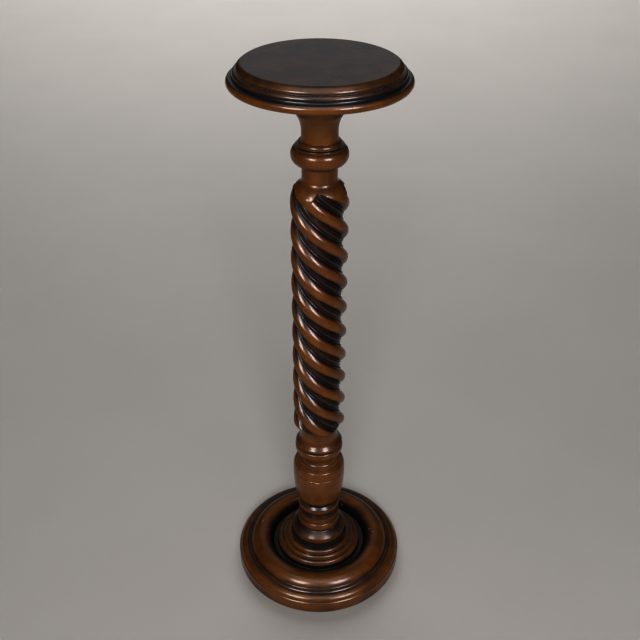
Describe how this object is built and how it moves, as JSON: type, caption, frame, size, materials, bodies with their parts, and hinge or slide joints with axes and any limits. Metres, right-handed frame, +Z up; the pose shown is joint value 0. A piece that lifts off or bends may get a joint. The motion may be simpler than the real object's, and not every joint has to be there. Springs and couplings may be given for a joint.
{
  "type": "vase stand",
  "caption": "Tall round-topped pedestal stand in turned hardwood, with a twist-carved column on a wide moulded round base.",
  "frame": {"origin": "middle of the base's underside, on the floor", "axes": "+Z up along the column to the round top, and the front faces -Y"},
  "size_m": [0.2926, 0.2926, 0.92],
  "materials": {
    "top_wood": "dark satin lacquered mahogany, worn grey-brown on the flat",
    "column_wood": "glossy lacquered red-brown mahogany, near-black in the hollows",
    "base_wood": "glossy lacquered red-brown mahogany, near-black in the channels"
  },
  "bodies": {
    "root": {"top": "top_wood", "column": "column_wood", "base": "base_wood"}
  },
  "joints": []
}
